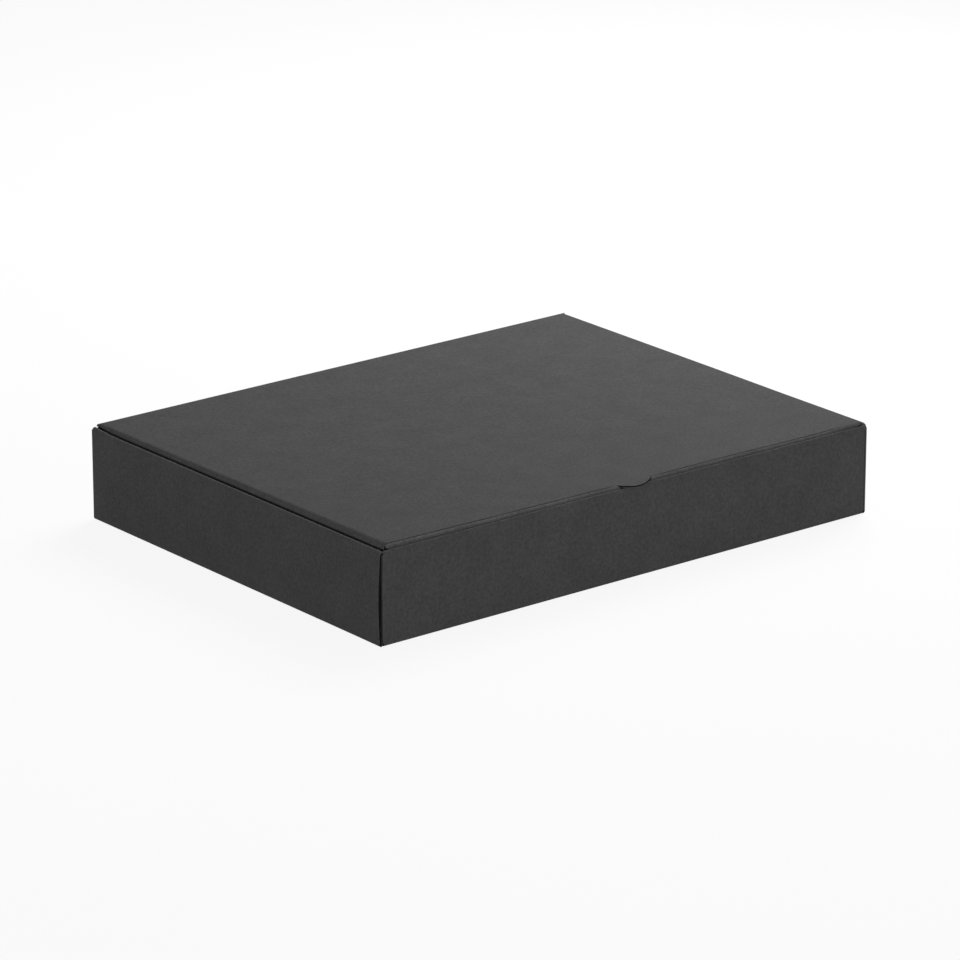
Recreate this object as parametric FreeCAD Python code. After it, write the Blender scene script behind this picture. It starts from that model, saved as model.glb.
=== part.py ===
"""One-piece folding carton with a hinged lid: a flat tray with rolled side walls, and a lid
that tucks in behind the front wall.

The whole box is die cut from one sheet of board. Every panel between two creases is a piece of
its own here, and so is every crease, which is a narrow strip of board bent to a round fold.

Frame: +Z up, origin at the middle of the base's underside, +X along the length, -Y towards the
front wall with the thumb tab, +Y towards the back wall, which carries the lid. Millimetres.
"""

import FreeCAD
import Part
import math
import os

from FreeCAD import Vector

# Overall size of the closed box
length = 310.0
width = 237.0
height = 49.9

# Board and folds
board = 1.0
tray_fold_inner_radius = 0.3
lid_fold_inner_radius = 0.5

# Clearances
layer_gap = 0.1
side_setback = 0.6
lid_side_gap = 0.25
lid_front_gap = 0.25
side_top_gap = 0.7
tab_lift_gap = 2.1
dust_flap_floor_gap = 0.5
dust_flap_top_gap = 0.3
inner_panel_end_gap = 0.3
leaf_gap = 0.5
slot_end_gap = 0.5
lock_tab_floor_gap = 0.15
wing_hinge_gap = 1.0

# Lid: thumb tab, tuck flap and wings
tab_width = 22.0
tab_offset = 3.0
tab_overhang = 1.8
tab_cut_gap = 0.2
tuck_flap_depth = 30.0
tuck_flap_side_taper = 4.0
tuck_flap_corner_radius = 12.0
wing_depth = 25.0
wing_back_taper_length = 60.0
wing_corner_radius = 6.0
lean_margin_deg = 0.3

# The leaves of the lid spread a quarter of a degree for each degree that the lid opens
splay_ratio = 0.25

# Tray: dust flaps and the tabs that lock the rolled walls into the base
dust_flap_length = 80.0
dust_flap_chamfer = 8.0
lock_tab_length = 30.0
lock_tab_spacing = 120.0
back_wall_shoulder_drop = 2.0

# One overrun serves every cut
overrun = 1.0

X = Vector(1, 0, 0)
Y = Vector(0, 1, 0)
Z = Vector(0, 0, 1)

half_length = length / 2
half_width = width / 2
tray_fold_radius = board + tray_fold_inner_radius
lid_fold_radius = board + lid_fold_inner_radius

# Layers of a rolled side wall, from outside to inside, as distances from the middle of the box
outer_panel_x = half_length - board
dust_flap_x = outer_panel_x - layer_gap
inner_panel_x = dust_flap_x - board - layer_gap
tray_inside_x = inner_panel_x - board
roll_radius = (half_length - tray_inside_x) / 2
roll_inner_radius = roll_radius - board

# Heights of the tray
side_top_z = height - board - side_top_gap
roll_spring_z = side_top_z - roll_radius
front_wall_top_z = height - board - tab_lift_gap
back_wall_top_z = height - lid_fold_radius
dust_flap_bottom_z = board + dust_flap_floor_gap
dust_flap_top_z = roll_spring_z - dust_flap_top_gap

# Plan of the tray
base_edge_x = half_length - tray_fold_radius
base_edge_y = half_width - tray_fold_radius
wall_end_x = dust_flap_x - tray_fold_radius
side_end_y = half_width - side_setback
inner_panel_end_y = half_width - board - inner_panel_end_gap

# Plan of the lid
lid_edge_x = tray_inside_x - lid_side_gap - lid_fold_radius
lid_front_y = -(half_width - board - lid_front_gap - lid_fold_radius)
lid_back_y = half_width - lid_fold_radius
tab_reach = half_width + tab_overhang + lid_front_y
tab_radius = ((tab_width / 2) ** 2 + tab_reach**2) / (2 * tab_reach)


def leaf_exit_deg(depth, distance):
    """The lid's angle at which a leaf's lower edge, at this distance from the hinge, comes out."""
    return math.degrees(math.asin(depth / distance))


def tuck_flap_lean_deg():
    """How far the tuck flap leans in when shut, so that it clears the front wall on its way out."""
    reach = lid_back_y - lid_front_y
    exit_angle = math.radians(leaf_exit_deg(tuck_flap_depth, reach))
    swing = (1 + splay_ratio) * math.sin(exit_angle)
    drawn_back = (1 - math.cos(exit_angle)) * reach / tuck_flap_depth
    return math.degrees(math.asin(swing - drawn_back)) + lean_margin_deg


def wing_lean_deg():
    """How far a wing leans in when shut, so that it has only just come upright when it is out."""
    return splay_ratio * leaf_exit_deg(wing_depth, wing_back_taper_length) + lean_margin_deg


def slab(x_ends, y_ends, z_ends):
    """A block between two values along each axis, given in either order."""
    low = Vector(min(x_ends), min(y_ends), min(z_ends))
    high = Vector(max(x_ends), max(y_ends), max(z_ends))
    size = high - low
    return Part.makeBox(size.x, size.y, size.z, low)


def bent_strip(centre, out, up, along, strip_length, inner, start_deg, sweep_deg):
    """A strip of board bent round a line that starts at the centre and runs along the fold.

    Angles are measured from the direction out towards the direction up.
    """
    outer = inner + board

    def at(radius, angle_deg):
        angle = math.radians(angle_deg)
        return centre + out * (radius * math.cos(angle)) + up * (radius * math.sin(angle))

    middle_deg = start_deg + sweep_deg / 2
    end_deg = start_deg + sweep_deg
    edges = [
        Part.Arc(at(outer, start_deg), at(outer, middle_deg), at(outer, end_deg)).toShape(),
        Part.makeLine(at(outer, end_deg), at(inner, end_deg)),
        Part.Arc(at(inner, end_deg), at(inner, middle_deg), at(inner, start_deg)).toShape(),
        Part.makeLine(at(inner, start_deg), at(outer, start_deg)),
    ]
    return Part.Face(Part.Wire(edges)).extrude(along * strip_length)


def cut_panel(origin, across, down, through, corners):
    """A flat panel of board. Each corner is (across, down, radius), in order round the outline."""
    points = [origin + across * c[0] + down * c[1] for c in corners]
    count = len(corners)
    edges = []
    starts = []
    ends = []
    for i in range(count):
        before = (points[i - 1] - points[i]).normalize()
        after = (points[(i + 1) % count] - points[i]).normalize()
        half_angle = before.getAngle(after) / 2
        setback = corners[i][2] / math.tan(half_angle)
        starts.append(points[i] + before * setback)
        ends.append(points[i] + after * setback)
    for i in range(count):
        if corners[i][2]:
            towards = (starts[i] + ends[i]) / 2 - points[i]
            half_chord = (ends[i] - starts[i]).Length / 2
            radius = corners[i][2]
            depth = towards.Length + math.sqrt(radius**2 - half_chord**2) - radius
            middle = points[i] + towards.normalize() * depth
            edges.append(Part.Arc(starts[i], middle, ends[i]).toShape())
        edges.append(Part.makeLine(ends[i], starts[(i + 1) % count]))
    return Part.Face(Part.Wire(edges)).extrude(through * board)


def base_panel():
    """The floor of the tray, with the slots that take the lock tabs."""
    panel = slab((-base_edge_x, base_edge_x), (-base_edge_y, base_edge_y), (0, board))
    half_slot = lock_tab_length / 2 + slot_end_gap
    for side in (-1, 1):
        for end in (-1, 1):
            middle = end * lock_tab_spacing / 2
            slot_x = (side * (tray_inside_x - layer_gap), side * (inner_panel_x + layer_gap))
            slot_y = (middle - half_slot, middle + half_slot)
            panel = panel.cut(slab(slot_x, slot_y, (-overrun, board + overrun)))
    return panel


def front_wall():
    return slab(
        (-wall_end_x, wall_end_x),
        (-half_width, -half_width + board),
        (tray_fold_radius, front_wall_top_z),
    )


def back_wall():
    """The wall that carries the lid. Its shoulders step down past the lid's hinge crease."""
    shoulder_z = back_wall_top_z - back_wall_shoulder_drop
    corners = [
        (-wall_end_x, tray_fold_radius, 0),
        (wall_end_x, tray_fold_radius, 0),
        (wall_end_x, shoulder_z, 0),
        (lid_edge_x, back_wall_top_z, 0),
        (-lid_edge_x, back_wall_top_z, 0),
        (-wall_end_x, shoulder_z, 0),
    ]
    return cut_panel(Y * half_width, X, Z, -Y, corners)


def base_crease(out, edge, half_run):
    """The fold at the foot of a wall, whose straight part starts at this edge of the base."""
    along = Z.cross(out)
    centre = out * edge + Z * tray_fold_radius - along * half_run
    return bent_strip(centre, out, Z, along, 2 * half_run, tray_fold_inner_radius, -90, 90)


def corner_crease(side, end):
    """The upright fold between the front or back wall and one of its dust flaps."""
    centre = X * (side * wall_end_x) + Y * (end * base_edge_y) + Z * dust_flap_bottom_z
    run = dust_flap_top_z - dust_flap_bottom_z
    return bent_strip(centre, X * side, Y * end, Z, run, tray_fold_inner_radius, 0, 90)


def dust_flap(side, end):
    """A flap of the front or back wall, caught between the two layers of a rolled wall."""
    rise = dust_flap_top_z - dust_flap_bottom_z
    corners = [
        (0, 0, 0),
        (dust_flap_length - dust_flap_chamfer, 0, 0),
        (dust_flap_length, dust_flap_chamfer, 0),
        (dust_flap_length, rise - dust_flap_chamfer, 0),
        (dust_flap_length - dust_flap_chamfer, rise, 0),
        (0, rise, 0),
    ]
    origin = X * (side * dust_flap_x) + Y * (end * base_edge_y) + Z * dust_flap_bottom_z
    return cut_panel(origin, Y * -end, Z, X * -side, corners)


def side_outer_panel(side):
    return slab(
        (side * outer_panel_x, side * half_length),
        (-side_end_y, side_end_y),
        (tray_fold_radius, roll_spring_z),
    )


def side_roll(side):
    """The rounded top of a rolled wall, where the board turns over and goes back down."""
    centre = X * (side * (tray_inside_x + roll_radius)) - Y * inner_panel_end_y
    centre = centre + Z * roll_spring_z
    run = 2 * inner_panel_end_y
    return bent_strip(centre, X * side, Z, Y, run, roll_inner_radius, 0, 180)


def side_inner_panel(side):
    """The inner layer of a rolled wall, with the two tabs that lock it into the base."""
    layer = (side * tray_inside_x, side * inner_panel_x)
    panel = slab(layer, (-inner_panel_end_y, inner_panel_end_y), (board, roll_spring_z))
    for end in (-1, 1):
        middle = end * lock_tab_spacing / 2
        tab_y = (middle - lock_tab_length / 2, middle + lock_tab_length / 2)
        panel = panel.fuse(slab(layer, tab_y, (lock_tab_floor_gap, board)))
    return panel.removeSplitter()


def lid_hinge_crease():
    """The fold between the back wall and the lid."""
    centre = X * lid_edge_x + Y * lid_back_y + Z * back_wall_top_z
    return bent_strip(centre, Y, Z, -X, 2 * lid_edge_x, lid_fold_inner_radius, 0, 90)


def lid_panel():
    """The top of the box, with the half-moon thumb tab that stands out over the front wall."""
    panel = slab((-lid_edge_x, lid_edge_x), (lid_front_y, lid_back_y), (height - board, height))
    underside = Z * (height - board)
    root = X * tab_offset + Y * lid_front_y + underside
    left = root - X * (tab_width / 2)
    right = root + X * (tab_width / 2)
    tip = root - Y * tab_reach
    outline = Part.Wire([Part.Arc(left, tip, right).toShape(), Part.makeLine(right, left)])
    return panel.fuse(Part.Face(outline).extrude(Z * board)).removeSplitter()


def leaf_frame(edge_middle, out, lean_deg):
    """Where a leaf of the lid starts below its crease, the way it hangs and its inward normal."""
    lean = math.radians(lean_deg)
    centre = edge_middle + Z * (height - lid_fold_radius)
    outward = out * math.cos(lean) - Z * math.sin(lean)
    down = -out * math.sin(lean) - Z * math.cos(lean)
    return centre + outward * lid_fold_radius, down, -outward


def leaf_crease(start, out, along, run, lean_deg):
    """The fold between the lid and one of its leaves, a little more than a quarter turn."""
    centre = start + Z * (height - lid_fold_radius)
    sweep = 90 + lean_deg
    return bent_strip(centre, out, Z, along, run, lid_fold_inner_radius, 90, -sweep)


def tuck_flap_crease():
    """Two lengths of the lid's front fold, one on each side of the thumb tab."""
    half_tab = tab_width / 2 + tab_cut_gap
    ends = [(-lid_edge_x, tab_offset - half_tab), (tab_offset + half_tab, lid_edge_x)]
    lengths = [
        leaf_crease(X * start + Y * lid_front_y, -Y, X, end - start, tuck_flap_lean_deg())
        for start, end in ends
    ]
    return Part.makeCompound(lengths)


def tuck_flap():
    """The flap that goes down behind the front wall, with the notch that the thumb tab leaves."""
    lean_deg = tuck_flap_lean_deg()
    origin, down, inward = leaf_frame(Y * lid_front_y, -Y, lean_deg)
    half_top = lid_edge_x - leaf_gap
    half_bottom = half_top - tuck_flap_side_taper
    corners = [
        (-half_top, 0, 0),
        (half_top, 0, 0),
        (half_bottom, tuck_flap_depth, tuck_flap_corner_radius),
        (-half_bottom, tuck_flap_depth, tuck_flap_corner_radius),
    ]
    flap = cut_panel(origin, X, down, inward, corners)
    fold_run = math.radians(90 + lean_deg) * (lid_fold_inner_radius + board / 2)
    notch_depth = tab_reach - fold_run + tab_cut_gap
    notch_radius = tab_radius + tab_cut_gap
    notch_centre = origin + down * (notch_depth - notch_radius) - inward * overrun
    notch_centre = notch_centre + X * tab_offset
    notch = Part.makeCylinder(notch_radius, board + 2 * overrun, notch_centre, inward)
    return flap.cut(notch)


def wing_crease(side):
    start = X * (side * lid_edge_x) + Y * lid_front_y
    run = lid_back_y - wing_hinge_gap - lid_front_y
    return leaf_crease(start, X * side, Y, run, wing_lean_deg())


def lid_wing(side):
    """A leaf that goes down inside a rolled wall, tapered at the hinge end and at the front."""
    origin, down, inward = leaf_frame(X * (side * lid_edge_x), X * side, wing_lean_deg())
    front = lid_front_y + leaf_gap
    back = lid_back_y - wing_hinge_gap
    corners = [
        (front, 0, 0),
        (front + wing_depth, wing_depth, wing_corner_radius),
        (back - wing_back_taper_length, wing_depth, wing_corner_radius),
        (back, 0, 0),
    ]
    return cut_panel(origin, Y, down, inward, corners)


def all_pieces():
    """Every sub-part of the box by name."""
    pieces = {
        "base_panel": base_panel(),
        "front_wall": front_wall(),
        "back_wall": back_wall(),
        "front_base_crease": base_crease(-Y, base_edge_y, wall_end_x),
        "back_base_crease": base_crease(Y, base_edge_y, wall_end_x),
        "lid_hinge_crease": lid_hinge_crease(),
        "lid_panel": lid_panel(),
        "tuck_flap_crease": tuck_flap_crease(),
        "tuck_flap": tuck_flap(),
    }
    for side, side_name in ((-1, "left"), (1, "right")):
        pieces[f"{side_name}_base_crease"] = base_crease(X * side, base_edge_x, side_end_y)
        pieces[f"{side_name}_side_outer_panel"] = side_outer_panel(side)
        pieces[f"{side_name}_side_roll"] = side_roll(side)
        pieces[f"{side_name}_side_inner_panel"] = side_inner_panel(side)
        pieces[f"{side_name}_wing_crease"] = wing_crease(side)
        pieces[f"{side_name}_lid_wing"] = lid_wing(side)
        for end, end_name in ((-1, "front"), (1, "back")):
            pieces[f"{end_name}_{side_name}_corner_crease"] = corner_crease(side, end)
            pieces[f"{end_name}_{side_name}_dust_flap"] = dust_flap(side, end)
    return pieces


def main():
    os.makedirs("parts", exist_ok=True)
    pieces = all_pieces()
    for name, shape in pieces.items():
        shape.exportStep(f"parts/{name}.step")
    print(f"{len(pieces)} pieces")
    print(f"tuck flap leans in {tuck_flap_lean_deg():.2f} degrees, wings {wing_lean_deg():.2f}")


main()
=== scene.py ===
# %% [markdown]
# A flat gift carton, folded from one sheet of board
#
# The real box is a single die-cut sheet of thin micro-flute board, dyed black on both sides.
# The plain solids of the frame could be taken as they are, with square edges and a colour. But
# they lack what makes board look like board: the soft round of a fold, the pressed groove
# beside it, the cut edge with its wavy core, and a lid that has warped by a millimetre. So
# every panel and crease is built again in its solid's place, with two liners and a core.

# %% Load the frame
import math

import bmesh
import bpy
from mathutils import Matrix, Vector


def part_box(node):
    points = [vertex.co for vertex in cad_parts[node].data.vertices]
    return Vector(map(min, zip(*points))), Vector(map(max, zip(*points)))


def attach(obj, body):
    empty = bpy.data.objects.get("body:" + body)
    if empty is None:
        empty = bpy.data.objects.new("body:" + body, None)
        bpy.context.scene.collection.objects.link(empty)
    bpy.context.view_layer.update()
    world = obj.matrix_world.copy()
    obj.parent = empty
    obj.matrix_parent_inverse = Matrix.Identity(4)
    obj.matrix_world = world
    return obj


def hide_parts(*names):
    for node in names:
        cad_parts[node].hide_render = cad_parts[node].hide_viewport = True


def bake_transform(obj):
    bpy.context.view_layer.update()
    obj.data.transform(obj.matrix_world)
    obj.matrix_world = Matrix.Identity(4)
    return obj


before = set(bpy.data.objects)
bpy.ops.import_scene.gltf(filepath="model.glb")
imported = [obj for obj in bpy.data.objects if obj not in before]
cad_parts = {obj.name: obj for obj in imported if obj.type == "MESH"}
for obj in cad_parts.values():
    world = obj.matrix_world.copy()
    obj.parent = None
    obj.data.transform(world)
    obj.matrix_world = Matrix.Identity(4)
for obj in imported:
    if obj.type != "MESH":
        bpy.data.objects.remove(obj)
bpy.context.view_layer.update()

# %% [markdown]
# Sizes from the frame
#
# Each length could be typed again, but then a change to the box would leave the looks behind.
# Most sizes are read from the box round each piece, in millimetres. What those can't tell,
# such as a radius in an outline, is a named value.

# %% Read the sizes
MM = 0.001
# Lengths that differ by less count as the same
CLOSE_MM = 0.001


def span(node):
    """The lowest and the highest corner of a piece of the frame, in millimetres."""
    return tuple(Vector(round(v / MM, 4) for v in corner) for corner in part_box(node))


base_low, base_high = span("base_panel")
board = base_high.z
outer_low, outer_high = span("right_side_outer_panel")
inner_low, inner_high = span("right_side_inner_panel")
roll_low, roll_high = span("right_side_roll")
dust_low, dust_high = span("front_right_dust_flap")
front_low, front_high = span("front_wall")
back_low, back_high = span("back_wall")
lid_low, lid_high = span("lid_panel")
flap_high = span("tuck_flap")[1]
wing_low, wing_high = span("right_lid_wing")

tray_radius = outer_low.z
lid_top = lid_high.z
lid_radius = lid_top - back_high.z
lid_edge_x = lid_high.x
lid_front_y = span("tuck_flap_crease")[1].y
lid_back_y = lid_high.y
wall_end_x = front_high.x
print(f"board {board:.2f} mm thick, folds {tray_radius:.2f} and {lid_radius:.2f} mm round")

# %% Name the outlines' own sizes
tab_width = 22.0
tab_offset = 3.0
tab_cut_gap = 0.2
tab_reach = lid_front_y - lid_low.y
flap_side_taper = 4.0
flap_corner_radius = 12.0
flap_depth = 30.0
wing_depth = 25.0
wing_corner_radius = 6.0
wing_back_taper = 60.0
dust_chamfer = 8.0
lock_tab_length = 30.0
lock_tab_spacing = 120.0
slot_side_gap = 0.1
slot_end_gap = 0.5
shoulder_drop = 2.0


def lean_angle(leaf_high):
    """How far a leaf of the lid leans in, from how far its top lies below the fold's centre."""
    drop = lid_top - lid_radius - leaf_high.z
    return math.asin(drop / (lid_radius - board))


flap_lean = lean_angle(flap_high)
wing_lean = lean_angle(wing_high)
leans = [round(math.degrees(angle), 2) for angle in (flap_lean, wing_lean)]
print("the tuck flap and the wings lean in by", leans, "degrees")

# %% [markdown]
# Nodes and colours
#
# A material in code is a chain of nodes. One small function that adds a node, sets its values
# and makes its links keeps each material as short as its idea. Colours are written as the hex
# values that a picture editor shows, and turned to the linear light that a renderer mixes.

# %% Helpers for materials


def linear(hex_colour):
    """An sRGB hex colour as linear red, green, blue and alpha."""
    channels = [int(hex_colour[i : i + 2], 16) / 255 for i in (1, 3, 5)]
    bright = [c / 12.92 if c <= 0.04045 else ((c + 0.055) / 1.055) ** 2.4 for c in channels]
    return (*bright, 1.0)


def add_node(tree, kind, inputs=None, **settings):
    """A node with its settings, and with each input set to a value or linked to a socket."""
    node = tree.nodes.new(kind)
    for key, value in settings.items():
        setattr(node, key, value)
    for key, value in (inputs or {}).items():
        if isinstance(value, bpy.types.NodeSocket):
            tree.links.new(value, node.inputs[key])
        else:
            node.inputs[key].default_value = value
    return node


def new_material(name):
    """A material with an empty node tree, and that tree."""
    material = bpy.data.materials.new(name)
    material.use_nodes = True
    tree = material.node_tree
    tree.nodes.clear()
    return material, tree


# %% [markdown]
# Black liner
#
# The faces are uncoated kraft liner, dyed black in the pulp. Pulp is felted, so the black is a
# dark grey with clouds a centimetre or two wide, a grain of about a millimetre, fibres and
# specks that took less dye. It has no gloss. A picture of paper would tile and stretch; noise
# at the real sizes doesn't. The finest fibres, about 0.03 mm wide, wouldn't show, so they are
# drawn ten times as wide. Along folds and cut edges the dye is rubbed, and the paper is a
# little paler. The same paler colour is also painted highlight: along the front wall's top lip
# and on the tuck flap's fold, stronger at the left. Each piece says where, in a value called
# wear_and_highlight.

# %% Make the black liner
CLOUD_MM = 16.0
CLOUD_SWING = 0.07
GRAIN_MM = 1.4
GRAIN_SWING = 0.18
GRAIN_RELIEF_MM = 0.012
FIBRE_MM = 0.35
FIBRE_LENGTH_MM = 3.0
FIBRE_SWING = 0.08
SPECK_MM = 2.2
SPECK_RADIUS_MM = 0.352
SPECK_HEART_MM = 0.11
SPECK_PALER = 0.22
WEAR_AND_HIGHLIGHT_LEAST = 0.5
WEAR_AND_HIGHLIGHT_MOST = 1.2
DYED = "#4e4e4e"
# A paler colour for rubbed dye, which is also painted highlight where a piece asks for it
RUBBED_AND_HIGHLIGHT = "#5c5c5c"


def black_kraft_liner():
    material, tree = new_material("black_kraft_liner")
    place = add_node(tree, "ShaderNodeTexCoord").outputs["Object"]

    def noise(size_mm, detail):
        inputs = {"Vector": place, "Scale": 1 / (size_mm * MM), "Detail": detail}
        return add_node(tree, "ShaderNodeTexNoise", inputs).outputs["Fac"]

    def spread(value, low, high):
        inputs = {"Value": value, "From Min": 0.25, "From Max": 0.75, "To Min": low, "To Max": high}
        return add_node(tree, "ShaderNodeMapRange", inputs, clamp=False).outputs["Result"]

    def times(a, b):
        return add_node(tree, "ShaderNodeMath", {0: a, 1: b}, operation="MULTIPLY").outputs[0]

    squeeze = (1 / (FIBRE_MM * MM), 1 / (FIBRE_LENGTH_MM * MM), 1 / (FIBRE_MM * MM))
    stretched = add_node(tree, "ShaderNodeMapping", {"Vector": place, "Scale": squeeze})
    fibre_inputs = {"Vector": stretched.outputs["Vector"], "Scale": 1.0, "Detail": 2.0}
    fibres = add_node(tree, "ShaderNodeTexNoise", fibre_inputs).outputs["Fac"]
    clouds = spread(noise(CLOUD_MM, 2.0), 1 - CLOUD_SWING, 1 + CLOUD_SWING)
    grain = spread(noise(GRAIN_MM, 3.0), 1 - GRAIN_SWING, 1 + GRAIN_SWING)
    felt = spread(fibres, 1 - FIBRE_SWING, 1 + FIBRE_SWING)
    tone = times(times(clouds, grain), felt)

    spots = add_node(tree, "ShaderNodeTexVoronoi", {"Vector": place, "Scale": 1 / (SPECK_MM * MM)})
    near = {"Value": spots.outputs["Distance"], "To Max": SPECK_PALER}
    near |= {"From Min": SPECK_RADIUS_MM / SPECK_MM, "From Max": SPECK_HEART_MM / SPECK_MM}
    speck = add_node(tree, "ShaderNodeMapRange", near).outputs["Result"]
    speckled = add_node(tree, "ShaderNodeMath", {0: tone, 1: speck}, operation="ADD").outputs[0]

    # Mixes in the paler colour: rubbed dye, and painted highlight on the front lip and the flap
    # fold
    wear_and_highlight_mask = add_node(tree, "ShaderNodeAttribute", attribute_name="wear_and_highlight").outputs["Fac"]
    patchy = times(wear_and_highlight_mask, spread(noise(GRAIN_MM, 2.0), WEAR_AND_HIGHLIGHT_LEAST, WEAR_AND_HIGHLIGHT_MOST))
    # A mix node has its sockets for colours after those for numbers and vectors
    dyed_and_highlight_colours = {0: patchy, 6: linear(DYED), 7: linear(RUBBED_AND_HIGHLIGHT)}
    mixed = add_node(tree, "ShaderNodeMix", dyed_and_highlight_colours, data_type="RGBA").outputs[2]
    toned = {0: mixed, "Scale": speckled}
    shaded = add_node(tree, "ShaderNodeVectorMath", toned, operation="SCALE")

    relief = {"Height": noise(GRAIN_MM / 2, 4.0), "Distance": GRAIN_RELIEF_MM * MM}
    bump = add_node(tree, "ShaderNodeBump", relief)
    finish = {
        "Base Color": shaded.outputs["Vector"],
        "Roughness": 0.85,
        "IOR": 1.45,
        "Specular IOR Level": 0.05,
        "Normal": bump.outputs["Normal"],
    }
    paper = add_node(tree, "ShaderNodeBsdfPrincipled", finish)
    add_node(tree, "ShaderNodeOutputMaterial", {"Surface": paper.outputs["BSDF"]})
    return material


liner_material = black_kraft_liner()
print("black liner:", len(liner_material.node_tree.nodes), "nodes")

# %% [markdown]
# Black core
#
# The wavy medium between the liners is thinner, rougher paper. It shows only where the board
# is cut: at the bottom of a recess, or between liners that a blunt die has pressed together.
# Such an edge shows as a near-black line, so the core is coloured near black and more matt:
# partly the medium's own colour, partly painted shade for the recess and the slot beside it.

# %% Make the black core
# Near-black core colour: the medium's own colour, darkened further as painted shade
CORE_AND_SHADE_DARK = "#060606"
CORE_AND_SHADE_PALE = "#0e0e0e"


def black_fluting_and_painted_shade():
    material, tree = new_material("black_fluting_and_painted_shade")
    place = add_node(tree, "ShaderNodeTexCoord").outputs["Object"]
    fuzz = {"Vector": place, "Scale": 1 / (FIBRE_MM * MM), "Detail": 2.0}
    fibres = add_node(tree, "ShaderNodeTexNoise", fuzz).outputs["Fac"]
    ramp = add_node(tree, "ShaderNodeValToRGB", {"Fac": fibres})
    ramp.color_ramp.elements[0].color = linear(CORE_AND_SHADE_DARK)
    ramp.color_ramp.elements[1].color = linear(CORE_AND_SHADE_PALE)
    finish = {"Base Color": ramp.outputs["Color"], "Roughness": 0.95, "Specular IOR Level": 0.05}
    paper = add_node(tree, "ShaderNodeBsdfPrincipled", finish)
    add_node(tree, "ShaderNodeOutputMaterial", {"Surface": paper.outputs["BSDF"]})
    return material


core_and_shade_material = black_fluting_and_painted_shade()
print("black core:", len(core_and_shade_material.node_tree.nodes), "nodes")

# %% [markdown]
# A sheet of board
#
# Every piece of the box is a stretch of the same board, flat or bent. An outline could be
# extruded and bevelled, but a warped lid or a bent fold needs rows of points to bend, and a
# bevel knows nothing of liners. Here a piece is a grid of points in the plane of the sheet, u
# across and v along, whose columns run between two outlines. A function of the piece then
# places a point (u, v) at a depth w under the show side. Along each cut edge the mesh follows
# the profile of real board: a rounded liner, a recess, and the other liner.

# %% The profile of a cut edge
LINER_SHARE = 0.2
LIP_SHARE = 0.09
LIP_BEND_SHARE = 0.3
LIP_UNDER_SHARE = 0.4
RECESS_MM = 0.42
EDGE_WEAR = 0.6

# Each point: how far in from the cut in mm, and how deep, as a share of the board's thickness
lip_mm = LIP_SHARE * board
open_half = [
    (lip_mm, 0.0),
    (lip_mm * LIP_BEND_SHARE, LIP_SHARE * LIP_BEND_SHARE),
    (0.0, LIP_SHARE),
    (0.0, LINER_SHARE - LIP_SHARE * LIP_UNDER_SHARE),
    (lip_mm * LIP_UNDER_SHARE, LINER_SHARE),
    (RECESS_MM, LINER_SHARE),
]
# Where a blunt cut has pressed the board shut, one liner meets the other
pressed_half = open_half[:4]


def both_liners(half):
    """The profile on through the board, from the show side's liner to the other one."""
    return half + [(inset, 1 - depth) for inset, depth in reversed(half)]


def core_bands(half):
    """The bands of a profile that show the core: the middle one and one at each side of it."""
    return range(len(half) - 2, len(half) + 1)


print(len(both_liners(open_half)), "points round an open cut edge")

# %% The wavy core
FLUTE_PITCH_MM = 1.8
MEDIUM_MM = 0.14
FLUTE_STEP_MM = 0.3
MEDIUM_INSET_MM = 0.07
MEDIUM_REACH_SHARE = 0.97


def medium_depth(q):
    """How deep the middle of the medium lies at a distance q across the flutes."""
    swing = board * (0.5 - LINER_SHARE) - MEDIUM_MM / 2
    return board / 2 + swing * math.sin(2 * math.pi * q / FLUTE_PITCH_MM)


print("a flute every", FLUTE_PITCH_MM, "mm")


# %% Directions along an outline
# Limits at sharp corners, where a point would otherwise shoot far past its inset
LEAST_OPENING = 0.4
LEAST_SLIDE = 0.3


def inward(before, here, after, cut_before, cut_after):
    """How a point of an outline moves per millimetre of inset, from its two edges."""
    lead = (here - before).normalized()
    trail = (after - here).normalized()
    lead_in = Vector((-lead.y, lead.x))
    trail_in = Vector((-trail.y, trail.x))
    if cut_before and cut_after:
        return (lead_in + trail_in) / max(LEAST_OPENING, 1 + lead_in.dot(trail_in))
    if not (cut_before or cut_after):
        return Vector((0.0, 0.0))
    slide, normal = (-lead, trail_in) if cut_after else (trail, lead_in)
    share = slide.dot(normal)
    return slide / share if share > LEAST_SLIDE else normal


# %% Build a sheet


def sheet_cells(columns, low, high, rows, keep):
    """The points of the grid and its cells, each a list of point numbers."""
    numbers = {}
    cells = []

    def number(u, share):
        key = (round(u, 4), round(low(u) + share * (high(u) - low(u)), 4))
        return numbers.setdefault(key, len(numbers))

    for left, right in zip(columns, columns[1:]):
        for below, above in zip(rows, rows[1:]):
            middle_u = (left + right) / 2
            middle_v = low(middle_u) + (below + above) / 2 * (high(middle_u) - low(middle_u))
            if not keep(middle_u, middle_v):
                continue
            ring = [number(left, below), number(right, below)]
            ring += [number(right, above), number(left, above)]
            cell = [n for i, n in enumerate(ring) if n != ring[i - 1]]
            if len(cell) > 2:
                cells.append(cell)
    used = sorted({n for cell in cells for n in cell})
    order = {n: i for i, n in enumerate(used)}
    places = {n: key for key, n in numbers.items()}
    return [Vector(places[n]) for n in used], [[order[n] for n in cell] for cell in cells]


def outline_of(cells):
    """The directed edges that only one cell has: its outline, with the board on the left."""
    edges = {(a, b) for cell in cells for a, b in zip(cell, cell[1:] + cell[:1])}
    return [(a, b) for a, b in edges if (b, a) not in edges]


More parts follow.
